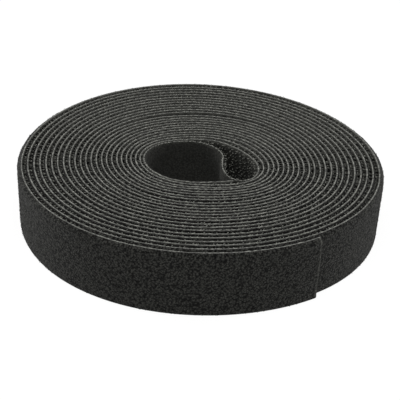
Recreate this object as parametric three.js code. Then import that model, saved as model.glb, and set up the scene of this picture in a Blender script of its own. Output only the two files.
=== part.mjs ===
// A roll of black hook and loop tape: a hook strip and a loop strip bonded back to back,
// wound on itself without a spool, lying on its side. Millimetres, +Z up, roll axis along Z.
//
// Seen from above, the tape starts at a loose tail on the near side of the bore, runs clockwise
// round three sides of it, folds back across the bore and then winds outwards counterclockwise.
// The loops face the bore along the tail and face outwards in the winding, so the hooks face inwards.

import * as THREE from 'three';

// Tape
const TAPE_WIDTH = 20; // cut width of both strips
const HOOK_WEB = 0.45; // hook strip: moulded web with the feet of its hooks
const LOOP_WEB = 0.45; // loop strip: knitted ground with its pile pressed down
const NAP_THICKNESS = 0.83; // mean space between turns, where hooks and pile catch

// Winding
const TURNS = 23; // whole turns, from the side that the fold runs into, past the loose end
const FOLD_END_ANGLE = -4; // degrees, where the fold across the bore runs into the first turn
const LOOSE_END_ANGLE = -49; // degrees, where the outer end is cut
const TAIL_END_ANGLE = -53; // degrees, where the inner end is cut
const TAIL_TOP_ANGLE = 112; // degrees, where the tail bends into the fold
const TAIL_LIFT = 1.1; // how far the tail's end stands off the first turn
const TAIL_LIFT_ANGLE = 50; // degrees over which it leaves it
const EASE = 0.16; // share by which turns lie closer than the mean at the bore and wider at the rim
const STEPS_PER_TURN = 22;

// Bore: the first turn is a circle pulled into an oval with a blunt nose, about its own centre. Each
// pull has a tilt in degrees.
const BORE_RADIUS = 16.15; // mean
const BORE_OVAL = 2.15;
const BORE_OVAL_TILT = -5;
const BORE_NOSE = 0.19;
const BORE_NOSE_TILT = -35;
const BORE_CORNERS = 0.32;
const BORE_CORNERS_TILT = -24;
const BORE_SHIFT_X = -0.17; // bore centre from the rim's centre
const BORE_SHIFT_Y = -3.31;

// Dip: behind the nose the first turns sink towards the fold
const DIP = 1.6; // of the first turn
const DIP_ANGLE = 33; // degrees, where it is deepest
const DIP_HALF_ANGLE = 62; // degrees from there to its ends
const DIP_TURNS = 3; // over which it fades

// Rim: the outer turn is a little wider than it is deep, with three faint corners
const RIM_OVAL = 0.79;
const RIM_CORNERS = 0.45;
const RIM_CORNERS_TILT = -15.7; // degrees

// Fold across the bore: an upper bend and a lower bend that meet where it is nearly straight
const FOLD_X = 6.5; // that meeting point, from the rim's centre
const FOLD_Y = -0.4;
const FOLD_LEAN = -5.6; // degrees, running down away from the nose there
const FOLD_TOP_REACH = 7; // how far the upper bend keeps the tail's direction
const FOLD_UPPER_REACH = 4; // how far above and below the meeting point it stays straight
const FOLD_LOWER_REACH = 19;
const FOLD_FOOT_REACH = 10.6; // how far the lower bend keeps the first turn's direction
const FOLD_STEPS = 16; // for each of its two bends

// Loose outer end, as a chain of short lengths that peel off the roll
const PEEL_LENGTHS = 6;
const PEEL_ANGLE = 12; // degrees of the rim for each
const PEEL_STEPS = 2;
const HINGE_GAP = 0.3; // between neighbouring lengths

const GAP_WINDOW_LENGTH = 8; // length of tape on either side of a point that counts as the point's own

const LAMINATE = HOOK_WEB + LOOP_WEB;
const PITCH = LAMINATE + NAP_THICKNESS;
const SWEEP = 360 * TURNS + LOOSE_END_ANGLE - FOLD_END_ANGLE;
const RIM_RADIUS = BORE_RADIUS + PITCH * SWEEP / 360;
const STEP_ANGLE = 360 / STEPS_PER_TURN;
const tailEnd = TAIL_END_ANGLE - FOLD_END_ANGLE;
const tailTop = TAIL_TOP_ANGLE - FOLD_END_ANGLE - 360;
const peelRoot = SWEEP - PEEL_LENGTHS * PEEL_ANGLE;
const boreCentre = new THREE.Vector2(BORE_SHIFT_X, BORE_SHIFT_Y);

const hookMaterial = new THREE.MeshStandardMaterial({ color: 0x2a2a2b, roughness: 0.55, metalness: 0 });
const loopMaterial = new THREE.MeshStandardMaterial({ color: 0x1c1c1d, roughness: 0.95, metalness: 0 });

const radians = THREE.MathUtils.degToRad;

function boreRadius(angle) {
  return BORE_RADIUS
    + BORE_OVAL * Math.cos(2 * radians(angle - BORE_OVAL_TILT))
    + BORE_NOSE * Math.cos(3 * radians(angle - BORE_NOSE_TILT))
    + BORE_CORNERS * Math.cos(4 * radians(angle - BORE_CORNERS_TILT));
}

// Distance from the bore's centre to the rim, an ellipse about the origin with its corners.
function rimRadius(angle) {
  const longHalf = RIM_RADIUS + RIM_OVAL;
  const shortHalf = RIM_RADIUS - RIM_OVAL;
  const ray = new THREE.Vector2(Math.cos(radians(angle)) / longHalf, Math.sin(radians(angle)) / shortHalf);
  const from = new THREE.Vector2(boreCentre.x / longHalf, boreCentre.y / shortHalf);
  const along = ray.dot(from);
  const reach = ray.lengthSq();
  const ellipse = (Math.sqrt(along * along - reach * (from.lengthSq() - 1)) - along) / reach;
  return ellipse + RIM_CORNERS * Math.cos(3 * radians(angle - RIM_CORNERS_TILT));
}

function dip(swept) {
  const turned = THREE.MathUtils.euclideanModulo(FOLD_END_ANGLE + swept - DIP_ANGLE + 180, 360) - 180;
  const near = Math.cos(radians(90) * THREE.MathUtils.clamp(turned / DIP_HALF_ANGLE, -1, 1));
  const faded = THREE.MathUtils.clamp(1 - swept / (360 * DIP_TURNS), 0, 1);
  return DIP * near * near * faded * faded;
}

// A point of the bond line between the strips, by the angle swept from the fold's end. The turns
// change from the bore's outline to the rim's and lie wider apart outwards.
function spiralPoint(swept, inwards = 0) {
  const angle = FOLD_END_ANGLE + swept;
  const along = swept / SWEEP;
  const share = along * (1 - EASE * (1 - along));
  const radius = THREE.MathUtils.lerp(boreRadius(angle), rimRadius(angle), share) - dip(swept) - inwards;
  return new THREE.Vector2(Math.cos(radians(angle)), Math.sin(radians(angle)))
    .multiplyScalar(radius)
    .add(boreCentre);
}

// The tail follows the same spiral before its start, and its end stands off the first turn.
function tailPoint(swept) {
  const lifted = THREE.MathUtils.smoothstep(swept, tailEnd - TAIL_LIFT_ANGLE, tailEnd);
  return spiralPoint(swept, TAIL_LIFT * lifted);
}

function spiralDirection(swept) {
  const half = 0.05;
  return spiralPoint(swept + half).sub(spiralPoint(swept - half)).normalize();
}

// Swept angles from one to another, outwards, on the rays that all turns share: one of them passes
// through the root of the loose end.
function sweptRun(first, last) {
  const margin = STEP_ANGLE / 4;
  const run = [first];
  for (let ray = Math.floor((peelRoot - first) / STEP_ANGLE); ray >= 0; ray -= 1) {
    const swept = peelRoot - ray * STEP_ANGLE;
    if (swept - first > margin && last - swept > margin) run.push(swept);
  }
  run.push(last);
  return run;
}

// The fold: two bends that meet in the straight stretch across the bore.
function foldRun() {
  const top = spiralPoint(tailTop);
  const topDirection = spiralDirection(tailTop).negate();
  const middle = new THREE.Vector2(FOLD_X, FOLD_Y);
  const middleDirection = new THREE.Vector2(Math.sin(radians(FOLD_LEAN)), -Math.cos(radians(FOLD_LEAN)));
  const end = spiralPoint(0);
  const endDirection = spiralDirection(0);
  const ahead = (point, direction, distance) => point.clone().addScaledVector(direction, distance);
  const upper = new THREE.CubicBezierCurve(
    top,
    ahead(top, topDirection, FOLD_TOP_REACH),
    ahead(middle, middleDirection, -FOLD_UPPER_REACH),
    middle,
  );
  const lower = new THREE.CubicBezierCurve(
    middle,
    ahead(middle, middleDirection, FOLD_LOWER_REACH),
    ahead(end, endDirection, -FOLD_FOOT_REACH),
    end,
  );
  const bends = [...upper.getSpacedPoints(FOLD_STEPS), ...lower.getSpacedPoints(FOLD_STEPS).slice(1)];
  return bends.slice(1, -1);
}

// The path's points with their normal on the loop side, mitred so a strip keeps its thickness.
function withNormals(points) {
  const right = (from, to) => new THREE.Vector2(to.y - from.y, from.x - to.x).normalize();
  return points.map((point, i) => {
    const before = right(points[Math.max(i - 1, 0)], points[Math.max(i, 1)]);
    const after = right(points[Math.min(i, points.length - 2)], points[Math.min(i + 1, points.length - 1)]);
    const normal = before.clone().add(after).normalize();
    return { point, normal: normal.divideScalar(normal.dot(before)) };
  });
}

function face(stations, offset) {
  return stations.map(({ point, normal }) => point.clone().addScaledVector(normal, offset));
}

// One strip between two offsets from the bond line, standing on its cut edge, about a pivot.
function strip(name, stations, inner, outer, material, pivot) {
  const outline = [...face(stations, outer), ...face(stations, inner).reverse()];
  const shape = new THREE.Shape(outline.map((p) => p.clone().sub(pivot)));
  const geometry = new THREE.ExtrudeGeometry(shape, { depth: TAPE_WIDTH, bevelEnabled: false });
  const mesh = new THREE.Mesh(geometry, material);
  mesh.name = name;
  return mesh;
}

function laminate(name, stations, pivot) {
  return [
    strip(`${name}_hook_strip`, stations, -HOOK_WEB, 0, hookMaterial, pivot),
    strip(`${name}_loop_strip`, stations, 0, LOOP_WEB, loopMaterial, pivot),
  ];
}

// Least distance between faces of the tape that aren't neighbours along its length.
function leastGap(stations) {
  const lengths = [0];
  for (let i = 1; i < stations.length; i += 1) {
    lengths.push(lengths[i - 1] + stations[i].point.distanceTo(stations[i - 1].point));
  }
  const faces = [face(stations, LOOP_WEB), face(stations, -HOOK_WEB)];
  const nearest = new THREE.Vector2();
  let least = Infinity;
  for (const points of faces) {
    for (const others of faces) {
      for (let i = 0; i < points.length; i += 1) {
        for (let j = 1; j < others.length; j += 1) {
          const apart = Math.max(lengths[j - 1] - lengths[i], lengths[i] - lengths[j]);
          if (apart < GAP_WINDOW_LENGTH) continue;
          const edge = others[j].clone().sub(others[j - 1]);
          const t = THREE.MathUtils.clamp(
            points[i].clone().sub(others[j - 1]).dot(edge) / edge.lengthSq(), 0, 1);
          nearest.copy(others[j - 1]).addScaledVector(edge, t);
          least = Math.min(least, nearest.distanceTo(points[i]));
        }
      }
    }
  }
  return { least, length: lengths[lengths.length - 1] };
}

const gapAngle = THREE.MathUtils.radToDeg(HINGE_GAP / RIM_RADIUS);

const wound = withNormals([
  ...sweptRun(tailTop, tailEnd).reverse().map(tailPoint),
  ...foldRun(),
  ...sweptRun(0, peelRoot - gapAngle / 2).map((swept) => spiralPoint(swept)),
]);

// Stations of each peeling length, and the hinge at its root on the loop face.
const lengths = [];
for (let k = 0; k < PEEL_LENGTHS; k += 1) {
  const root = peelRoot + k * PEEL_ANGLE;
  const first = root + gapAngle / 2;
  const last = k + 1 < PEEL_LENGTHS ? root + PEEL_ANGLE - gapAngle / 2 : SWEEP;
  const points = [];
  for (let i = 0; i <= PEEL_STEPS; i += 1) {
    points.push(spiralPoint(THREE.MathUtils.lerp(first, last, i / PEEL_STEPS)));
  }
  const direction = spiralDirection(root);
  const hinge = spiralPoint(root).add(new THREE.Vector2(direction.y, -direction.x).multiplyScalar(LOOP_WEB));
  lengths.push({ stations: withNormals(points), hinge });
}

// The origin is the middle of the roll's footprint.
const allStations = [...wound, ...lengths.flatMap((length) => length.stations)];
const footprint = new THREE.Box2().setFromPoints([
  ...face(allStations, LOOP_WEB),
  ...face(allStations, -HOOK_WEB),
]);
const middle = footprint.getCenter(new THREE.Vector2());
const size = footprint.getSize(new THREE.Vector2());

const roll = new THREE.Group();
roll.add(...laminate('winding', wound, middle));

// Each peeling length hangs on the one before it, so turning a pivot carries the rest along.
let parent = roll;
let parentPivot = middle;
lengths.forEach(({ stations, hinge }, k) => {
  const pivot = new THREE.Group();
  const offset = hinge.clone().sub(parentPivot);
  pivot.position.set(offset.x, offset.y, 0);
  pivot.add(...laminate(`peel${k + 1}`, stations, hinge));
  parent.add(pivot);
  parent = pivot;
  parentPivot = hinge;
});

const { least, length } = leastGap(wound);
const peelArc = PEEL_LENGTHS * radians(PEEL_ANGLE) * RIM_RADIUS;
const metres = (length + peelArc) / 1000;
console.log(`roll ${size.x.toFixed(2)} x ${size.y.toFixed(2)} mm, about ${metres.toFixed(2)} m of tape`);
console.log(`least gap of the winding to itself ${least.toFixed(3)} mm`);
lengths.forEach(({ hinge }, k) => {
  const at = hinge.clone().sub(middle);
  console.log(`peel${k + 1} hinge at ${at.x.toFixed(3)}, ${at.y.toFixed(3)}`);
});

export default roll;
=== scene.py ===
"""A coreless roll of black back-to-back hook and loop tape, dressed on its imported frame.

The path, in millimetres, repeats the winding of the solids, apart from a few values of its own. Every
piece is laid out along it in tape coordinates: u along the tape from its inner end, z across its width,
and w off the bond line, positive on the loop side.
"""
import math

import bpy
import numpy as np
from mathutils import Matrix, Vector


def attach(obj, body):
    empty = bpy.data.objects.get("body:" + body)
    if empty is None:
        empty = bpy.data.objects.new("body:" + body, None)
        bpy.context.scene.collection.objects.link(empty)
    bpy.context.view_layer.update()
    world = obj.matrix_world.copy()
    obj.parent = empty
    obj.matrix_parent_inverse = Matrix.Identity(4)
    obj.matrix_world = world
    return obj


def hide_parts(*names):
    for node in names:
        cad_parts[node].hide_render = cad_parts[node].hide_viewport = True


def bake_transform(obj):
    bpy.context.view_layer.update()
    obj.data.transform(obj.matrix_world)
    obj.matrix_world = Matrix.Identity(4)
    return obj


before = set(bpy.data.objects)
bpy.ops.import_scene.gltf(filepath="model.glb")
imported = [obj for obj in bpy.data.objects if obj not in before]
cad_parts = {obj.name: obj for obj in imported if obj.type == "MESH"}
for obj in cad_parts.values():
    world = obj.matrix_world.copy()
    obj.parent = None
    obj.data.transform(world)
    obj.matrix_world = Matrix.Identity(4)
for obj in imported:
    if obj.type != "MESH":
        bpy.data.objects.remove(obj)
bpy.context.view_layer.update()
rng = np.random.default_rng(23)

MM = 0.001

# Tape and winding, as the solids have them: millimetres, and degrees for every angle, tilt and lean
TAPE_WIDTH = 20.0
HOOK_WEB = 0.45
LOOP_WEB = 0.45
NAP_THICKNESS = 0.83
TURNS = 23
FOLD_END_ANGLE = -4.0
LOOSE_END_ANGLE = -49.0
TAIL_TOP_ANGLE = 112.0
TAIL_LIFT = 1.1
TAIL_LIFT_ANGLE = 50.0
EASE = 0.16
BORE_RADIUS = 16.15
BORE_OVAL = 2.15
BORE_OVAL_TILT = -5.0
BORE_NOSE = 0.19
BORE_NOSE_TILT = -35.0
BORE_CORNERS = 0.32
BORE_CORNERS_TILT = -24.0
BORE_CENTRE = np.array([-0.17, -3.31])
DIP = 1.6
DIP_ANGLE = 33.0
DIP_HALF_ANGLE = 62.0
DIP_TURNS = 3
RIM_OVAL = 0.79
RIM_CORNERS = 0.45
RIM_CORNERS_TILT = -15.7
FOLD_MIDDLE = np.array([6.5, -0.4])
FOLD_LEAN = -5.6
FOLD_TOP_REACH = 7.0
FOLD_UPPER_REACH = 4.0
PEEL_LENGTHS = 6
PEEL_ANGLE = 12.0
FOOTPRINT_MIDDLE = np.array([-0.3688, -0.2467])

# The visible tape's own: its tail and its fold lie closer than solids may, and its loose end is shorter
TAIL_END_ANGLE = -48.5
FOLD_LOWER_REACH = 19.6
FOLD_FOOT_REACH = 12.6
END_TRIM = 0.75

PITCH = HOOK_WEB + LOOP_WEB + NAP_THICKNESS
SWEEP = 360 * TURNS + LOOSE_END_ANGLE - FOLD_END_ANGLE
RIM_RADIUS = BORE_RADIUS + PITCH * SWEEP / 360
TAIL_END = TAIL_END_ANGLE - FOLD_END_ANGLE
TAIL_TOP = TAIL_TOP_ANGLE - FOLD_END_ANGLE - 360
PEEL_ROOT = SWEEP - PEEL_LENGTHS * PEEL_ANGLE
FOLD_DIRECTION = np.array([math.sin(math.radians(FOLD_LEAN)), -math.cos(math.radians(FOLD_LEAN))])

# Layers, as distances from the bond line
WEB_IN = -0.30
WEB_OUT = 0.12
WEB_LAP = 0.02
GROUND_IN = WEB_OUT - WEB_LAP
GROUND_OUT = 0.34
RIM_NAP_OUT = 1.14
NAP_RELIEF = 0.22


def smoothstep(x, low, high):
    t = np.clip((x - low) / (high - low), 0, 1)
    return t * t * (3 - 2 * t)


def lattice(count):
    return rng.uniform(-1, 1, count)


def noise(values, u, pitch):
    """Smooth random values along the tape, one knot each pitch."""
    x = np.asarray(u) / pitch
    i = np.floor(x).astype(int) % len(values)
    t = smoothstep(x - np.floor(x), 0, 1)
    return values[i] * (1 - t) + values[(i + 1) % len(values)] * t


# Hand winding: every turn strays a little, and two lie slack. Places are swept angles: degrees wound
# since the fold.

WANDER = 0.07
WANDER_ANGLE = 47.0
WANDER_KNOTS = 400
WANDER_START = 9000.0
STRAY_FROM = 30.0
STRAY_FULL = 200.0
STRAY_FADES = PEEL_ROOT - 260.0
STRAY_GONE = PEEL_ROOT - 60.0
BACK_SLACK = 360 * 11 + 94.0
BACK_SLACK_HALF = 75.0
BACK_SLACK_ROOM = 0.95
FRONT_SLACK = 360 * 7 + 269.0
FRONT_SLACK_HALF = 110.0
FRONT_SLACK_ROOM = 0.42
SLACK_TURNS = 2.6
wander_knots = lattice(WANDER_KNOTS)


def slack(swept, place, half_angle, room):
    """Shift that opens a gap inside one place of the winding, half of it either way, and fades over the
    next turns."""
    turns = (swept - place) / 360
    turn = np.round(turns)
    off_centre = (turns - turn) * 360
    bump = np.cos(np.clip(off_centre / half_angle, -1, 1) * math.pi / 2) ** 2
    side = np.where(turn >= 0, 1.0, -1.0)
    depth = np.where(turn >= 0, turn, -1 - turn)
    return room / 2 * side * bump * np.exp(-depth / SLACK_TURNS)


def wander(swept):
    """How far a turn strays outwards: not at all next to the fold and the loose end."""
    free = smoothstep(swept, STRAY_FROM, STRAY_FULL) * (1 - smoothstep(swept, STRAY_FADES, STRAY_GONE))
    stray = WANDER * noise(wander_knots, swept + WANDER_START, WANDER_ANGLE)
    stray += slack(swept, BACK_SLACK, BACK_SLACK_HALF, BACK_SLACK_ROOM)
    stray += slack(swept, FRONT_SLACK, FRONT_SLACK_HALF, FRONT_SLACK_ROOM)
    return free * stray


# Path of the bond line


def bore_radius(angle):
    return (BORE_RADIUS + BORE_OVAL * np.cos(2 * np.radians(angle - BORE_OVAL_TILT))
            + BORE_NOSE * np.cos(3 * np.radians(angle - BORE_NOSE_TILT))
            + BORE_CORNERS * np.cos(4 * np.radians(angle - BORE_CORNERS_TILT)))


def rays(angle):
    return np.stack([np.cos(np.radians(angle)), np.sin(np.radians(angle))], -1)


def rim_radius(angle):
    """Distance of the oval rim from the bore's centre."""
    halves = np.array([RIM_RADIUS + RIM_OVAL, RIM_RADIUS - RIM_OVAL])
    ray = rays(angle) / halves
    start = BORE_CENTRE / halves
    along = ray @ start
    reach = (ray ** 2).sum(-1)
    ellipse = (np.sqrt(along ** 2 - reach * ((start ** 2).sum() - 1)) - along) / reach
    return ellipse + RIM_CORNERS * np.cos(3 * np.radians(angle - RIM_CORNERS_TILT))


def dip(swept):
    """How far the first turns are pushed in beside the fold."""
    turned = (FOLD_END_ANGLE + swept - DIP_ANGLE + 180) % 360 - 180
    near = np.cos(math.pi / 2 * np.clip(turned / DIP_HALF_ANGLE, -1, 1))
    faded = np.clip(1 - swept / (360 * DIP_TURNS), 0, 1)
    return DIP * (near * faded) ** 2


def spiral_point(swept, outwards=0.0):
    swept = np.asarray(swept, float)
    angle = FOLD_END_ANGLE + swept
    along = swept / SWEEP
    share = along * (1 - EASE * (1 - along))
    radius = bore_radius(angle) * (1 - share) + rim_radius(angle) * share - dip(swept) + outwards
    return rays(angle) * radius[..., None] + BORE_CENTRE


def spiral_direction(swept):
    half = 0.05
    step = spiral_point(swept + half) - spiral_point(swept - half)
    return step / np.linalg.norm(step)


def bezier(a, b, c, d, count):
    t = np.linspace(0, 1, count)[:, None]
    return a * (1 - t) ** 3 + 3 * b * t * (1 - t) ** 2 + 3 * c * t ** 2 * (1 - t) + d * t ** 3


DENSE_ANGLE = 0.25
DENSE_FOLD = 240

tail_swept = np.arange(TAIL_END, TAIL_TOP, -DENSE_ANGLE)
tail_lift = TAIL_LIFT * smoothstep(tail_swept, TAIL_END - TAIL_LIFT_ANGLE, TAIL_END)
tail = spiral_point(tail_swept, -tail_lift)
fold_top = spiral_point(TAIL_TOP)
fold_end = spiral_point(0.0)
upper_bend = bezier(
    fold_top,
    fold_top - spiral_direction(TAIL_TOP) * FOLD_TOP_REACH,
    FOLD_MIDDLE - FOLD_DIRECTION * FOLD_UPPER_REACH,
    FOLD_MIDDLE,
    DENSE_FOLD,
)
lower_bend = bezier(
    FOLD_MIDDLE,
    FOLD_MIDDLE + FOLD_DIRECTION * FOLD_LOWER_REACH,
    fold_end - spiral_direction(0.0) * FOLD_FOOT_REACH,
    fold_end,
    DENSE_FOLD,
)
spiral_swept = np.linspace(0, SWEEP, int(SWEEP / DENSE_ANGLE) + 1)
spiral = spiral_point(spiral_swept, wander(spiral_swept))
path = np.concatenate([tail, upper_bend, lower_bend[1:], spiral[1:]]) - FOOTPRINT_MIDDLE
path_u = np.concatenate([[0], np.cumsum(np.linalg.norm(np.diff(path, axis=0), axis=1))])
path_tangent = np.gradient(path, path_u, axis=0)
path_tangent /= np.linalg.norm(path_tangent, axis=1)[:, None]
spiral_u = path_u[-len(spiral_swept):]


def u_at(swept):
    return float(np.interp(swept, spiral_swept, spiral_u))


def at(u):
    """Point, direction and loop-side normal of the path."""
    point = np.stack([np.interp(u, path_u, path[:, k]) for k in range(2)], -1)
    direction = np.stack([np.interp(u, path_u, path_tangent[:, k]) for k in range(2)], -1)
    direction /= np.linalg.norm(direction, axis=-1)[..., None]
    normal = np.stack([direction[..., 1], -direction[..., 0]], -1)
    return point, direction, normal


# Stretches of the tape, as swept angles: the loop face shows in the bore before COVERED_FROM and the hook
# face in the pocket before POCKET_END. The rim's open nap starts RIM_LAP before what the peeled end bares.

POCKET_END = 310.0
COVERED_FROM = 2.0
RIM_LAP = 8.0

U_COVERED = u_at(COVERED_FROM)
U_POCKET = u_at(POCKET_END)
U_RIM = u_at(PEEL_ROOT - 360 - RIM_LAP)
U_ROLL_END = u_at(PEEL_ROOT - PEEL_ANGLE / 2)
U_RIM_MIDDLE = (U_RIM + U_ROLL_END) / 2
U_END = path_u[-1] - END_TRIM

# How the edge of a hand-wound tape rises and falls, and how its cut edge and its pile vary

LIFT = 0.16
LIFT_LENGTH = 43.0
LIFT_KNOTS = 160
EDGE_LENGTH = 0.8
EDGE_RISE = 0.08
EDGE_SWELL = 0.07
OUTER_SWELL = 0.4
EDGE_KNOTS = 9000
lift_knots = np.abs(lattice(LIFT_KNOTS))
edge_knots = lattice(EDGE_KNOTS)
body_knots = lattice(EDGE_KNOTS)
pile_knots = lattice(EDGE_KNOTS)


def lift(u):
    return LIFT * noise(lift_knots, u, LIFT_LENGTH)


NAP_FINE_PITCH = 0.6
NAP_FINE_KNOTS = (9000, 48)
NAP_FINE_SHARE = 0.65
NAP_COARSE_PITCH = 1.5
NAP_COARSE_KNOTS = (4000, 20)
NAP_EDGE = 0.5
nap_fine = rng.uniform(0, 1, NAP_FINE_KNOTS)
nap_coarse = rng.uniform(0, 1, NAP_COARSE_KNOTS)


def grid_noise(values, u, z, pitch):
    """Random values over the tape's face, one knot each pitch either way."""
    x = u / pitch
    y = z / pitch + 1
    i = np.floor(x).astype(int) % (values.shape[0] - 1)
    j = np.clip(np.floor(y).astype(int), 0, values.shape[1] - 2)
    s = x - np.floor(x)
    t = np.clip(y - j, 0, 1)
    low = values[i, j] * (1 - s) + values[i + 1, j] * s
    high = values[i, j + 1] * (1 - s) + values[i + 1, j + 1] * s
    return low * (1 - t) + high * t


def nap_height(u, z):
    """Height of the napped surface, from 0 to 1."""
    fine = grid_noise(nap_fine, u, z, NAP_FINE_PITCH)
    coarse = grid_noise(nap_coarse, u, z, NAP_COARSE_PITCH)
    return NAP_FINE_SHARE * fine + (1 - NAP_FINE_SHARE) * coarse


def edge_distance(z):
    return np.minimum(z, TAPE_WIDTH - z)


def relief(u, z):
    """How far the nap rises off its floor, fading out at the tape's edges."""
    return NAP_RELIEF * nap_height(u, z) * smoothstep(edge_distance(z), 0, NAP_EDGE)


# Materials

WARMTH = np.array([1.0, 1.012, 0.91])


def grey(value):
    return tuple(value * WARMTH)


def new_material(name):
    material = bpy.data.materials.new(name)
    material.use_nodes = True
    nodes = material.node_tree.nodes
    return material, nodes, material.node_tree.links, nodes["Principled BSDF"]


def node(nodes, kind, **values):
    made = nodes.new(kind)
    for key, value in values.items():
        if key in made.inputs:
            made.inputs[key].default_value = value
        else:
            setattr(made, key, value)
    return made


def map_range(nodes, links, value, source=(0.0, 1.0), target=(0.0, 1.0)):
    """A value carried from one range to another, and held within it."""
    made = nodes.new("ShaderNodeMapRange")
    made.inputs["From Min"].default_value = source[0]
    made.inputs["From Max"].default_value = source[1]
    made.inputs["To Min"].default_value = target[0]
    made.inputs["To Max"].default_value = target[1]
    links.new(value, made.inputs["Value"])
    return made.outputs["Result"]


def ramp(nodes, links, value, low_at, low, high_at, high):
    """A grey that goes from low to high between two values."""
    made = nodes.new("ShaderNodeValToRGB")
    first, last = made.color_ramp.elements
    first.position = low_at
    first.color = (*grey(low), 1)
    last.position = high_at
    last.color = (*grey(high), 1)
    links.new(value, made.inputs["Fac"])
    return made.outputs["Color"]


def object_noise(nodes, links, scale, detail):
    place = nodes.new("ShaderNodeTexCoord")
    made = node(nodes, "ShaderNodeTexNoise", Scale=scale, Detail=detail)
    links.new(place.outputs["Object"], made.inputs["Vector"])
    return made.outputs["Fac"]


def bump(nodes, links, shader, height, strength, depth):
    made = node(nodes, "ShaderNodeBump", Strength=strength, Distance=depth * MM)
    links.new(height, made.inputs["Height"])
    links.new(made.outputs["Normal"], shader.inputs["Normal"])


# Where the paling and painted light towards the cut edges start and are full, as distances from the middle
# of the tape's width
EDGE_PALE_LIT_FROM = 8.7
EDGE_PALE_LIT_FULL = 9.8


def edge_pale_and_lit(nodes, links, colour, gain):
    """A colour made gain times lighter towards the cut edges: partly the paler nylon that cutting leaves,
    partly painted light near the edges and painted shade deeper down between the turns.
    """
    place = nodes.new("ShaderNodeTexCoord")
    parts = nodes.new("ShaderNodeSeparateXYZ")
    links.new(place.outputs["Object"], parts.inputs[0])
    middle = node(nodes, "ShaderNodeMath", operation="SUBTRACT")
    links.new(parts.outputs["Z"], middle.inputs[0])
    middle.inputs[1].default_value = TAPE_WIDTH / 2 * MM
    off_middle = node(nodes, "ShaderNodeMath", operation="ABSOLUTE")
    links.new(middle.outputs[0], off_middle.inputs[0])
    band = (EDGE_PALE_LIT_FROM * MM, EDGE_PALE_LIT_FULL * MM)
    lighter = node(nodes, "ShaderNodeVectorMath", operation="SCALE")
    links.new(colour, lighter.inputs[0])
    links.new(map_range(nodes, links, off_middle.outputs[0], band, (1.0, gain)), lighter.inputs["Scale"])
    return lighter.outputs[0]


SPOT_DETAIL = 4.0
SPOT_MIDDLE = 0.51
SPOT_SPREAD = 0.17
GRAIN_DETAIL = 3.0
GRAIN_DEPTH = 0.1


def speckled(
        name, spots, low, high, roughness, grain, grain_bump, specular,
        spread=SPOT_SPREAD, edge=None, sheen=0.0):
    """Colour that varies from spot to spot, roughness with it, and a finer grain; both are so many to a
    metre. Edge is how many times lighter the colour is at the cut edges: partly paler cut nylon, partly
    painted light."""
    material, nodes, links, shader = new_material(name)
    spot = object_noise(nodes, links, spots, SPOT_DETAIL)
    colour = ramp(nodes, links, spot, SPOT_MIDDLE - spread, low, SPOT_MIDDLE + spread, high)
    if edge is not None:
        colour = edge_pale_and_lit(nodes, links, colour, edge)
    links.new(colour, shader.inputs["Base Color"])
    links.new(map_range(nodes, links, spot, target=roughness), shader.inputs["Roughness"])
    bump(nodes, links, shader, object_noise(nodes, links, grain, GRAIN_DETAIL), grain_bump, GRAIN_DEPTH)
    shader.inputs["Specular IOR Level"].default_value = specular
    shader.inputs["Sheen Weight"].default_value = sheen
    return material


TUFT_SIZE = 0.62
TUFT_STRAY = 0.3
TUFT_STRAY_DETAIL = 2.0
FIBRE_SIZE = 0.3
FIBRE_DETAIL = 3.0
TUFT_RANGE = (-0.35, 0.45)
GAP_HEIGHT = 0.2
CROWN_HEIGHT = 0.95
NAP_BUMP = 0.8
NAP_ROUGHNESS = 0.95
NAP_SPECULAR = 0.1


def napped(name, low, high, depth, sheen):
    """Pile in small tufts: each rises from a dark gap to a lighter crown, under finer fibres."""
    material, nodes, links, shader = new_material(name)
    place = nodes.new("ShaderNodeTexCoord")
    stray = node(nodes, "ShaderNodeTexNoise", Scale=1 / (2 * TUFT_SIZE * MM), Detail=TUFT_STRAY_DETAIL)
    links.new(place.outputs["Object"], stray.inputs["Vector"])
    shift = node(nodes, "ShaderNodeVectorMath", operation="MULTIPLY_ADD")
    shift.inputs[1].default_value = (TUFT_STRAY * MM,) * 3
    links.new(stray.outputs["Color"], shift.inputs[0])
    links.new(place.outputs["Object"], shift.inputs[2])
    tufts = node(nodes, "ShaderNodeTexVoronoi", Scale=1 / (TUFT_SIZE * MM))
    links.new(shift.outputs[0], tufts.inputs["Vector"])
    crown = node(nodes, "ShaderNodeMath", operation="SUBTRACT")
    links.new(object_noise(nodes, links, 1 / (FIBRE_SIZE * MM), FIBRE_DETAIL), crown.inputs[0])
    links.new(tufts.outputs["Distance"], crown.inputs[1])
    height = map_range(nodes, links, crown.outputs[0], TUFT_RANGE)
    colour = ramp(nodes, links, height, GAP_HEIGHT, low, CROWN_HEIGHT, high)
    links.new(colour, shader.inputs["Base Color"])
    bump(nodes, links, shader, height, NAP_BUMP, depth)
    shader.inputs["Roughness"].default_value = NAP_ROUGHNESS
    shader.inputs["Specular IOR Level"].default_value = NAP_SPECULAR
    shader.inputs["Sheen Weight"].default_value = sheen
    return material


# edge lightens web and hooks towards the cut edges: partly paler cut nylon, partly painted light there and
# painted shade deeper down
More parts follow.
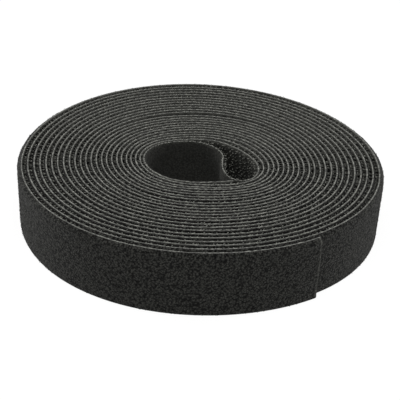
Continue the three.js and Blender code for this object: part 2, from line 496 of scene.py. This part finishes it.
web_material = speckled(
    "moulded_web", spots=700, low=0.020, high=0.050, roughness=(0.50, 0.72),
    grain=2600, grain_bump=0.25, specular=0.25, edge=2.15)
edge_material = speckled(
    "cut_edge", spots=1100, low=0.045, high=0.235, roughness=(0.45, 0.70),
    grain=2400, grain_bump=0.5, specular=0.4, spread=0.10)
stem_material = speckled(
    "hook_stems", spots=800, low=0.044, high=0.112, roughness=(0.60, 0.80),
    grain=3000, grain_bump=0.15, specular=0.15, edge=1.15)
# painted highlight: the heads are the stems' nylon painted about twice as light, as if catching the light
lit_head_material = speckled(
    "hook_heads_painted_highlight", spots=800, low=0.086, high=0.232, roughness=(0.60, 0.80),
    grain=3000, grain_bump=0.15, specular=0.15, edge=1.25)
thread_material = speckled(
    "nap_threads", spots=1300, low=0.006, high=0.050, roughness=(0.70, 0.95),
    grain=4000, grain_bump=0.2, specular=0.2, sheen=0.06)
# near the cut edges the nap threads are a much lighter copy: partly paler cut fibre, partly painted light
# where the tape's top catches it
pale_lit_edge_thread_material = speckled(
    "edge_threads_pale_and_lit", spots=1300, low=0.040, high=0.17, roughness=(0.70, 0.95),
    grain=4000, grain_bump=0.2, specular=0.2, sheen=0.04)
nap_material = napped("knitted_nap", low=0.002, high=0.060, depth=0.30, sheen=0.08)
pressed_material = napped("pressed_nap", low=0.022, high=0.048, depth=0.09, sheen=0.02)
# painted shade: the nap between turns is the knitted nap painted darker, for the shade in the narrow gaps
shaded_covered_material = napped("covered_nap_painted_shade", low=0.003, high=0.016, depth=0.20, sheen=0.04)
cut_nap_material = napped("cut_nap", low=0.035, high=0.110, depth=0.20, sheen=0.08)


# Meshes


def add_piece(name, points, quads, tris, materials, slots=None, smooth=None):
    """An object from points in millimetres and its faces, quads first. Slots and smooth are by face."""
    mesh = bpy.data.meshes.new(name)
    mesh.vertices.add(len(points))
    mesh.vertices.foreach_set("co", (np.asarray(points) * MM).astype(np.float32).ravel())
    corners = np.concatenate([quads.ravel(), tris.ravel()]).astype(np.int32)
    mesh.loops.add(len(corners))
    mesh.loops.foreach_set("vertex_index", corners)
    mesh.polygons.add(len(quads) + len(tris))
    starts = np.concatenate([np.arange(len(quads)) * 4, quads.size + np.arange(len(tris)) * 3])
    mesh.polygons.foreach_set("loop_start", starts.astype(np.int32))
    for material in materials:
        mesh.materials.append(material)
    if slots is not None:
        mesh.polygons.foreach_set("material_index", slots.astype(np.int32))
    if smooth is not None:
        mesh.polygons.foreach_set("use_smooth", smooth)
    mesh.update(calc_edges=True)
    piece = bpy.data.objects.new(name, mesh)
    bpy.context.scene.collection.objects.link(piece)
    return piece


NO_TRIS = np.zeros((0, 3), int)
CAP_BAND = 0.02
CUT_BAND = 0.7
TONGUE = 0.7
TUCK = 0.05


def run(first, last, step, tongued=False):
    """Stations along the tape, with one close to either end so that a cap doesn't bend the shading, and
    how far each is tucked in. A tongue lies hidden in the next piece."""
    count = max(2, int(round((last - first) / step)) + 1)
    u = np.concatenate([[first], np.linspace(first + CAP_BAND, last - CAP_BAND, count), [last]])
    if tongued:
        u = np.concatenate([u, [last + CAP_BAND, last + TONGUE]])
    return u, np.where(u > last, TUCK, 0.0)[:, None]


def ribbon(name, u, z, outer, inner, materials, edge_rows=0):
    """A closed strip: at each of n stations, m heights with an outer and an inner face. The second
    material is for the first and last edge_rows rows, the tape's two cut ends and a narrow band at the
    loose one."""
    n, m = outer.shape
    point, _, normal = at(u)

    def column(offset):
        flat = point[:, None, :] + normal[:, None, :] * offset[..., None]
        return np.concatenate([flat, z[..., None]], -1)

    points = np.concatenate([column(outer), column(inner)[:, ::-1]], 1).reshape(-1, 3)
    around = 2 * m
    i, k = np.meshgrid(np.arange(n - 1), np.arange(around), indexing="ij")
    here = i * around
    there = here + around
    k_next = (k + 1) % around
    sides = np.stack([here + k, there + k, there + k_next, here + k_next], -1).reshape(-1, 4)
    j = np.arange(m - 1)
    first_cap = np.stack([j, j + 1, around - 2 - j, around - 1 - j], -1)
    last_cap = first_cap[:, ::-1] + (n - 1) * around
    quads = np.concatenate([sides, first_cap, last_cap])
    row = np.minimum(k, around - 2 - k)
    is_edge = (k == m - 1) | (k == around - 1) | (row < edge_rows) | (row > m - 2 - edge_rows)
    is_edge &= edge_rows > 0
    is_edge |= u[i] > U_END - CUT_BAND
    is_cut = np.repeat([u[0] <= 0, u[-1] >= U_END], m - 1)
    slots = np.concatenate([is_edge.ravel(), is_cut])
    smooth = np.concatenate([np.ones(len(sides), bool), np.zeros(len(is_cut), bool)])
    return add_piece(name, points, quads, NO_TRIS, materials, slots, smooth)


# Across the hook web, from its lower edge up: heights, rounding, and shares of the edge's rise and swell
WEB_STEP = 0.8
WEB_ROWS = np.array([0.0, 0.12, TAPE_WIDTH - 0.4, TAPE_WIDTH - 0.05, TAPE_WIDTH])
WEB_ROUND = np.array([0.07, 0.0, 0.0, 0.02, 0.06])
WEB_TOP = np.array([0.0, 0.0, 1.0, 1.0, 1.0])
WEB_SWELL = np.array([1.0, 1.0, 0.3, 1.0, 1.0])


def hook_web(name, first, last, tongued=False):
    """The hook strip without its hooks, with a slightly ragged cut edge."""
    u, tuck = run(first, last, WEB_STEP, tongued)
    rise = lift(u)[:, None] + EDGE_RISE * noise(edge_knots, u, EDGE_LENGTH)[:, None] * WEB_TOP
    swell = EDGE_SWELL * noise(body_knots, u, EDGE_LENGTH)[:, None] * WEB_SWELL
    outer = WEB_OUT - WEB_ROUND + swell * OUTER_SWELL - tuck
    inner = WEB_IN + WEB_ROUND - swell + tuck
    z = np.clip(WEB_ROWS, tuck, TAPE_WIDTH - tuck) + rise
    return ribbon(name, u, z, outer, inner, [web_material, edge_material], edge_rows=1)


# Across the covered loop strip, from its lower edge up: heights, rounding, how far its pile fills the
# room to the next turn, how full its open tufts are and how far they sink
GROUND_STEP = 0.66
GROUND_ROWS = np.array([0.05, 2.0, 17.0, 18.6, 19.4, 19.94])
GROUND_ROUND = np.array([0.10, 0.0, 0.0, 0.0, 0.0, 0.06])
PILE_PACKED = np.array([0.0, 1.0, 1.0, 0.0, 0.0, 0.0])
PILE_FULLNESS = np.array([0.0, 0.0, 0.0, 1.0, 0.8, 0.5])
PILE_SINK = np.array([0.0, 0.0, 0.0, 0.0, 0.3, 0.4])
PILE_SHARE = 0.42
PILE_CLEARANCE = 0.05


def room_outside(u):
    """Distance from the bond line to the hook web of the turn that covers it."""
    swept = np.interp(u, spiral_u, spiral_swept)
    covered = np.minimum(swept + 360, SWEEP)
    here = spiral_point(swept, wander(swept))
    there = spiral_point(covered, wander(covered))
    return np.linalg.norm(there - here, axis=1) + WEB_IN


def wound_ground(name, first, last):
    """The loop strip between turns. Its pile is packed against the next turn, and open near the upper
    edge, where that turn's hooks show."""
    u, _ = run(first, last, GROUND_STEP)
    room = np.clip(room_outside(u) - GROUND_OUT - PILE_CLEARANCE, 0.0, None)[:, None]
    share = PILE_PACKED + PILE_SHARE * nap_height(u[:, None], GROUND_ROWS) * PILE_FULLNESS
    outer = GROUND_OUT - GROUND_ROUND + room * share
    inner = np.full_like(outer, GROUND_IN)
    sink = PILE_SINK * (0.5 + 0.5 * noise(pile_knots, u, GROUND_STEP))[:, None]
    z = GROUND_ROWS - sink + lift(u)[:, None]
    # its nap is painted dark as the shade of the gap between turns
    return ribbon(name, u, z, outer, inner, [shaded_covered_material, shaded_covered_material])


RIM_TOP_ROUND = 0.9
RIM_BOTTOM_ROUND = 0.45
RIM_BOTTOM_FULLNESS = 0.85
RIM_EDGE_DROP = 0.1
BORE_EDGE_DROP = 0.12
BORE_EDGE_ROUND = 0.35


def rim_profile(z):
    """Height of the nap's floor across the rim: pressed thin at the upper edge, fuller below."""
    top = smoothstep(TAPE_WIDTH - z, 0, RIM_TOP_ROUND)
    bottom = RIM_BOTTOM_FULLNESS + (1 - RIM_BOTTOM_FULLNESS) * smoothstep(z, 0, RIM_BOTTOM_ROUND)
    return GROUND_OUT - RIM_EDGE_DROP + (RIM_NAP_OUT - GROUND_OUT + RIM_EDGE_DROP) * top * bottom


def bore_profile(z):
    """Height of the nap's floor where it is pressed flat."""
    return GROUND_OUT - BORE_EDGE_DROP * (1 - smoothstep(edge_distance(z), 0, BORE_EDGE_ROUND))


SCALLOP = 0.22
SCALLOP_PITCH = 1.35
SCALLOP_STEP = 0.27
SCALLOP_STRAY = 1.3
SCALLOP_KNOTS = 200
scallop_knots = lattice(SCALLOP_KNOTS)


def scallops(u):
    """Tufts that stand up along the edge of the nap, from 0 to 1."""
    stray = SCALLOP_STRAY * noise(scallop_knots, u, 2 * SCALLOP_PITCH)
    return np.clip(np.cos(2 * math.pi * u / SCALLOP_PITCH + stray), 0, 1)


NAP_STEP = 0.5
NAP_ROWS = np.concatenate([[0.03], np.linspace(0.3, TAPE_WIDTH - 0.3, 41), [TAPE_WIDTH - 0.03]])


def open_ground(
        name, first, last, profile, material, cut_material=None, step=NAP_STEP, scallop=0.0, tongued=False):
    """The loop strip where its napped face shows."""
    u, tuck = run(first, last, step, tongued)
    outer = profile(NAP_ROWS) + relief(u[:, None], NAP_ROWS) - tuck
    inner = np.full_like(outer, GROUND_IN)
    z = np.clip(NAP_ROWS, tuck, TAPE_WIDTH - tuck) + lift(u)[:, None]
    z[:, -1] += scallop * scallops(u)
    return ribbon(name, u, z, outer, inner, [material, cut_material or material])


def tube(line, radii, sides):
    """Rings of a tapered tube along a line in the plane of tape length and height above its face:
    centres, ring offsets, and the faces of one tube."""
    line = np.array(line, float)
    direction = np.gradient(line, axis=0)
    direction /= np.linalg.norm(direction, axis=1)[:, None]
    turn = np.arange(sides) * 2 * math.pi / sides
    across = np.cos(turn)[None, :] * np.ones((len(line), 1))
    inplane = np.sin(turn)[None, :]
    offsets = np.stack([-direction[:, 1:] * inplane, across, direction[:, :1] * inplane], -1)
    offsets *= np.array(radii, float)[:, None, None]
    centres = np.stack([line[:, 0], np.zeros(len(line)), line[:, 1]], -1)
    i, k = np.meshgrid(np.arange(len(line) - 1), np.arange(sides), indexing="ij")
    here = i * sides
    there = here + sides
    k_next = (k + 1) % sides
    quads = np.stack([here + k, here + k_next, there + k_next, there + k], -1).reshape(-1, 4)
    caps = []
    last = (len(line) - 1) * sides
    for k in range(1, sides - 1):
        caps.append([0, k + 1, k])
        caps.append([last, last + k, last + k + 1])
    return centres, offsets, quads, np.array(caps)


# One hook and one thread: lines in shares of its length and height, radii in shares of its thickness
HOOK_HEAD_RING = 2
HOOK_TUBE = tube(
    line=[(0, -0.05), (0.0, 0.40), (0.06, 0.74), (0.24, 0.95), (0.46, 0.80)],
    radii=[0.18, 0.12, 0.12, 0.14, 0.10],
    sides=4)
THREAD_TUBE = tube(
    line=[(-0.5, -0.1), (-0.2, 0.75), (0.15, 0.95), (0.5, 0.0)],
    radii=[1.0, 1.0, 0.9, 0.7],
    sides=3)


def scatter(name, template, u, z, w, side, long, high, thick, turn, materials):
    """Copies of a tube on the tape's face: side 1 stands off the loop face and -1 off the hook face. The
    second material, if any, is for a hook's head, painted lighter than its stem as a highlight."""
    centres, offsets, quads, tris = template
    count = len(u)
    rings, sides = offsets.shape[:2]
    sizes = np.stack([long, np.zeros(count), high], -1)[:, None, None, :]
    local = centres[None, :, None, :] * sizes + offsets[None] * thick[:, None, None, None]
    local = local.reshape(count, rings * sides, 3)
    along = local[..., 0] * np.cos(turn)[:, None] - local[..., 1] * np.sin(turn)[:, None]
    across = local[..., 0] * np.sin(turn)[:, None] + local[..., 1] * np.cos(turn)[:, None]
    point, direction, normal = at(u)
    out = w[:, None] + side * local[..., 2]
    flat = (point[:, None, :] + direction[:, None, :] * along[..., None]
            + normal[:, None, :] * out[..., None])
    height = np.maximum((z + lift(u))[:, None] + across, 0.0)
    points = np.concatenate([flat, height[..., None]], -1).reshape(-1, 3)
    shift = (np.arange(count) * rings * sides)[:, None, None]
    all_quads = (quads[None] + shift).reshape(-1, 4)
    all_tris = (tris[None] + shift).reshape(-1, 3)
    if side < 0:
        all_quads = all_quads[:, ::-1]
        all_tris = all_tris[:, ::-1]
    slots = None
    if len(materials) > 1:
        head_quads = quads.min(axis=1) >= HOOK_HEAD_RING * sides
        head_tris = tris.min(axis=1) >= HOOK_HEAD_RING * sides
        slots = np.concatenate([np.tile(head_quads, count), np.tile(head_tris, count)])
    return add_piece(name, points, all_quads, all_tris, materials, slots)


HOOK_HEIGHT = 0.92
HOOK_PITCH = 1.5
HOOK_ROW_PITCH = 1.1
HOOK_EDGE = 0.5
HOOK_STRAY = 0.36
HOOK_ROW_STRAY = 0.05
HOOK_TURN_STRAY = 0.45
HOOK_SIZE_STRAY = 0.08
BARE_HALF = 52.0
FACE_ROWS = np.arange(HOOK_EDGE, TAPE_WIDTH - HOOK_EDGE, HOOK_ROW_PITCH)
TOP_ROWS = [TAPE_WIDTH - HOOK_EDGE, TAPE_WIDTH - HOOK_EDGE - HOOK_ROW_PITCH]
BOTTOM_ROWS = [HOOK_EDGE]


def hooks(name, first, last, rows):
    """Hooks in rows along the hook face, each row leaning the other way. They lie flat, and don't show,
    where the winding is slack at the back."""
    u = []
    z = []
    turn = []
    count = int((last - first) / HOOK_PITCH)
    for k, row in enumerate(rows):
        places = first + (np.arange(count) + 0.5) * HOOK_PITCH
        u.append(places + rng.normal(0, HOOK_STRAY, count))
        z.append(row + rng.normal(0, HOOK_ROW_STRAY, count))
        turn.append(rng.normal(0, HOOK_TURN_STRAY, count) + math.pi * (k % 2))
    u = np.clip(np.concatenate(u), first, last)
    kept = np.abs(np.interp(u, spiral_u, spiral_swept) - BACK_SLACK) > BARE_HALF
    u = u[kept]
    z = np.concatenate(z)[kept]
    turn = np.concatenate(turn)[kept]
    size = rng.normal(1.0, HOOK_SIZE_STRAY, len(u)) * HOOK_HEIGHT
    thick = rng.normal(1.0, HOOK_SIZE_STRAY, len(u))
    w = np.full(len(u), WEB_IN)
    return scatter(name, HOOK_TUBE, u, z, w, -1, size, size, thick, turn, [stem_material, lit_head_material])


THREAD_LONG = (0.45, 1.0)
THREAD_TALL = (0.08, 0.24)
THREAD_THICK = (0.035, 0.065)
THREAD_SINK = 0.06


def threads(name, first, last, low, high, density, profile, material=thread_material):
    """Arched threads of the nap on the loop face, between two heights, so many to a square millimetre."""
    count = int((last - first) * (high - low) * density)
    u = rng.uniform(first, last, count)
    z = rng.uniform(low, high, count)
    w = profile(z) - THREAD_SINK + relief(u, z)
    long = rng.uniform(*THREAD_LONG, count)
    tall = rng.uniform(*THREAD_TALL, count)
    thick = rng.uniform(*THREAD_THICK, count)
    turn = rng.uniform(0, 2 * math.pi, count)
    return scatter(name, THREAD_TUBE, u, z, w, 1, long, tall, thick, turn, [material])


# The roll. The hooks of its upper edge are two pieces, split at a share of the tape's length.

HOOK_SPLIT = 0.35
NAP_BOTTOM = 0.1
NAP_TOP = TAPE_WIDTH - 0.05
EDGE_NAP_BOTTOM = 0.05
EDGE_BAND = 1.2
RIM_DENSITY = 1.4
BORE_DENSITY = 0.3
TOP_EDGE_DENSITY = 1.6
BOTTOM_EDGE_DENSITY = 0.4

roll_web = hook_web("roll_hook_web", 0.0, U_ROLL_END)
roll_ground = wound_ground("roll_loop_ground", U_COVERED, U_RIM)
bore_ground = open_ground(
    "bore_loop_ground", 0.0, U_COVERED, bore_profile, pressed_material, step=SCALLOP_STEP, scallop=SCALLOP)
rim_ground = open_ground("rim_loop_ground", U_RIM, U_ROLL_END, rim_profile, nap_material)
roll_hook_pieces = [
    hooks("pocket_hooks", 0.0, U_POCKET, FACE_ROWS[:-len(TOP_ROWS)]),
    hooks("top_edge_hooks_1", 0.0, U_END * HOOK_SPLIT, TOP_ROWS),
    hooks("top_edge_hooks_2", U_END * HOOK_SPLIT, U_ROLL_END, TOP_ROWS),
    hooks("bottom_edge_hooks", 0.0, U_ROLL_END, BOTTOM_ROWS),
]
roll_nap_pieces = [
    threads("bore_nap", 0.0, U_COVERED, NAP_BOTTOM, NAP_TOP, BORE_DENSITY, bore_profile),
    threads("rim_nap_1", U_RIM, U_RIM_MIDDLE, NAP_BOTTOM, NAP_TOP, RIM_DENSITY, rim_profile),
    threads("rim_nap_2", U_RIM_MIDDLE, U_ROLL_END, NAP_BOTTOM, NAP_TOP, RIM_DENSITY, rim_profile),
    threads(
        "top_edge_nap", U_COVERED, U_RIM, TAPE_WIDTH - EDGE_BAND, NAP_TOP, TOP_EDGE_DENSITY,
        bore_profile, pale_lit_edge_thread_material),
    threads(
        "bottom_edge_nap", U_COVERED, U_RIM, EDGE_NAP_BOTTOM, EDGE_BAND, BOTTOM_EDGE_DENSITY,
        bore_profile, pale_lit_edge_thread_material),
]
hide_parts("winding_hook_strip")
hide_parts("winding_loop_strip")
for piece in [roll_web, *roll_hook_pieces]:
    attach(piece, "roll")
for piece in [roll_ground, bore_ground, rim_ground, *roll_nap_pieces]:
    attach(piece, "roll")

# The loose end: each piece runs from the middle of one length to the middle of the next.

for k in range(PEEL_LENGTHS):
    root = PEEL_ROOT + k * PEEL_ANGLE
    is_last = k == PEEL_LENGTHS - 1
    first = u_at(root - PEEL_ANGLE / 2)
    last = U_END if is_last else u_at(root + PEEL_ANGLE / 2)
    number = k + 1
    hook_pieces = [
        hook_web(f"peel{number}_hook_web", first, last, not is_last),
        hooks(f"peel{number}_hooks", first, last, FACE_ROWS),
    ]
    loop_pieces = [
        open_ground(
            f"peel{number}_loop_ground", first, last, rim_profile, nap_material, cut_nap_material,
            tongued=not is_last),
        threads(f"peel{number}_nap", first, last, NAP_BOTTOM, NAP_TOP, RIM_DENSITY, rim_profile),
    ]
    point, direction, normal = at(np.array(u_at(root)))
    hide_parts(f"peel{number}_hook_strip")
    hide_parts(f"peel{number}_loop_strip")
    for piece in [*hook_pieces, *loop_pieces]:
        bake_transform(piece)

# Stage

CAMERA_PLACE = (4.566, -269.507, 164.905)
CAMERA_TURN = (59.146, -2.143, 2.171)
CAMERA_LENS = 88.112
WORLD_LIGHT = 0.26
WHITE = 1.0
FLOOR_HALF = 3.0
FLOOR_GREY = 0.82
FLOOR_ROUGHNESS = 0.9
FLOOR_GLOW = 1.07
FLOOR_GLOW_SHARE = 0.86
LIGHT_AIM = Vector((0, 0, 0.01))

scene = bpy.context.scene
scene.view_settings.view_transform = "Standard"


def add_camera():
    data = bpy.data.cameras.new("camera")
    data.lens = CAMERA_LENS
    camera = bpy.data.objects.new("camera", data)
    camera.location = [v * MM for v in CAMERA_PLACE]
    camera.rotation_euler = [math.radians(v) for v in CAMERA_TURN]
    scene.collection.objects.link(camera)
    scene.camera = camera


def seen_directly(nodes, links):
    """1 for what the camera sees itself, in a mirror or through glass."""
    light_path = nodes.new("ShaderNodeLightPath")
    either = node(nodes, "ShaderNodeMath", operation="MAXIMUM")
    links.new(light_path.outputs["Is Camera Ray"], either.inputs[0])
    links.new(light_path.outputs["Is Glossy Ray"], either.inputs[1])
    any_of = node(nodes, "ShaderNodeMath", operation="MAXIMUM")
    links.new(either.outputs[0], any_of.inputs[0])
    links.new(light_path.outputs["Is Transmission Ray"], any_of.inputs[1])
    return any_of.outputs[0]


def add_world():
    """A white background that lights the object only a little."""
    world = bpy.data.worlds.new("world")
    scene.world = world
    world.use_nodes = True
    nodes = world.node_tree.nodes
    links = world.node_tree.links
    background = nodes["Background"]
    background.inputs["Color"].default_value = (1, 1, 1, 1)
    strength = map_range(nodes, links, seen_directly(nodes, links), target=(WORLD_LIGHT, WHITE))
    links.new(strength, background.inputs["Strength"])


def add_floor():
    """A pale floor that keeps the object's shadow and glows just enough to run into the background."""
    mesh = bpy.data.meshes.new("floor")
    corners = [(x * FLOOR_HALF, y * FLOOR_HALF, 0.0) for x, y in ((-1, -1), (1, -1), (1, 1), (-1, 1))]
    mesh.from_pydata(corners, [], [(0, 1, 2, 3)])
    floor = bpy.data.objects.new("floor", mesh)
    scene.collection.objects.link(floor)
    material, nodes, links, shader = new_material("floor")
    shader.inputs["Base Color"].default_value = (FLOOR_GREY, FLOOR_GREY, FLOOR_GREY, 1)
    shader.inputs["Roughness"].default_value = FLOOR_ROUGHNESS
    shader.inputs["Specular IOR Level"].default_value = 0.0
    glow = node(nodes, "ShaderNodeEmission", Strength=FLOOR_GLOW)
    share = node(nodes, "ShaderNodeMath", operation="MULTIPLY")
    links.new(seen_directly(nodes, links), share.inputs[0])
    share.inputs[1].default_value = FLOOR_GLOW_SHARE
    mix = nodes.new("ShaderNodeMixShader")
    links.new(share.outputs[0], mix.inputs["Fac"])
    links.new(shader.outputs[0], mix.inputs[1])
    links.new(glow.outputs[0], mix.inputs[2])
    links.new(mix.outputs[0], nodes["Material Output"].inputs["Surface"])
    mesh.materials.append(material)


def area_light(name, place, size, power, colour):
    data = bpy.data.lights.new(name, "AREA")
    data.shape = "DISK"
    data.size = size
    data.energy = power
    data.color = colour
    lamp = bpy.data.objects.new(name, data)
    lamp.location = place
    lamp.rotation_euler = (LIGHT_AIM - Vector(place)).to_track_quat("-Z", "Y").to_euler()
    scene.collection.objects.link(lamp)


add_camera()
add_world()
add_floor()
area_light("key", place=(0.02, -0.29, 0.72), size=0.6, power=3.2, colour=(1.0, 1.0, 0.99))
area_light("left", place=(-0.70, 0.26, 0.28), size=0.45, power=3.0, colour=(1.0, 0.99, 0.98))
area_light("right", place=(0.70, 0.26, 0.28), size=0.45, power=2.3, colour=(1.0, 0.99, 0.98))
